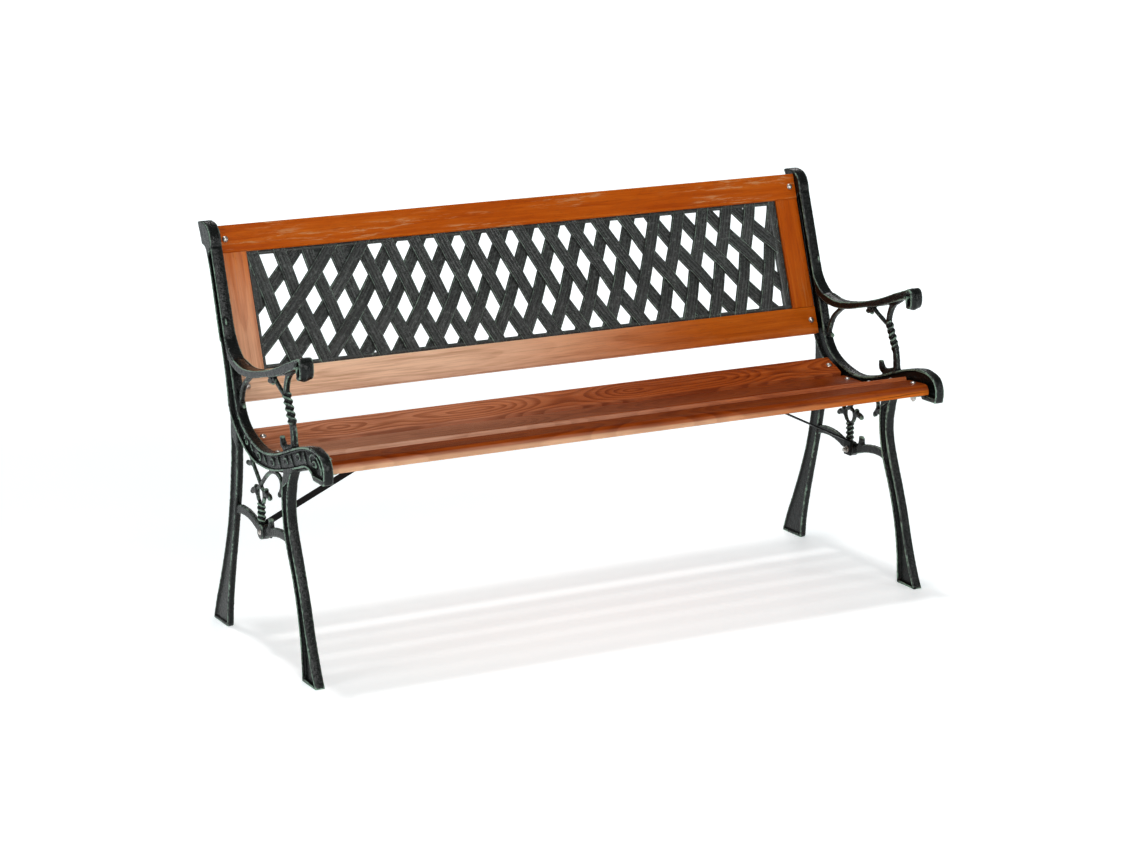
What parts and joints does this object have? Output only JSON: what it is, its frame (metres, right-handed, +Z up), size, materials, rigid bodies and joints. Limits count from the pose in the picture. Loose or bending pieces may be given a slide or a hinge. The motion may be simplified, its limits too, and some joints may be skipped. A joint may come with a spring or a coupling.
{
  "type": "garden bench",
  "caption": "Garden bench with ornate cast end frames, shaped wooden seat slats, and a wooden back that frames a woven-look lattice panel, stiffened by flat steel braces.",
  "frame": {"origin": "on the ground, below the middle of the bench's overall box", "axes": "+X along the bench to the right-hand end seen from the front, +Y towards the back, +Z up"},
  "size_m": [1.26, 0.5359, 0.7392],
  "materials": {
    "casting": "satin near-black green paint with pale green patina on raised edges",
    "lattice": "dark grey-green, finely ridged, green highlights on the edges",
    "back_wood": "orange-brown stained hardwood with pale scuffs",
    "seat_wood": "red-brown varnished hardwood",
    "dowel_wood": "plain beech",
    "brace_steel": "black satin paint",
    "zinc": "bright zinc plate"
  },
  "bodies": {
    "root": {"end_frame_left": "casting", "end_frame_right": "casting", "back_top_rail": "back_wood", "back_bottom_rail": "back_wood", "back_stile_left": "back_wood", "back_stile_right": "back_wood", "back_stile_dowels": "dowel_wood", "back_lattice": "lattice", "seat_slat_front": "seat_wood", "seat_slat_second": "seat_wood", "seat_slat_middle": "seat_wood", "seat_slat_fourth": "seat_wood", "seat_slat_rear": "seat_wood", "brace_bar_left": "brace_steel", "brace_bar_right": "brace_steel", "brace_top_screws": "zinc", "back_bolts": "zinc", "back_washers": "zinc", "back_nuts": "zinc", "seat_bolts": "zinc", "seat_washers": "zinc", "seat_nuts": "zinc", "brace_foot_bolts": "zinc", "brace_foot_washers": "zinc", "brace_foot_nuts": "zinc"}
  },
  "joints": []
}
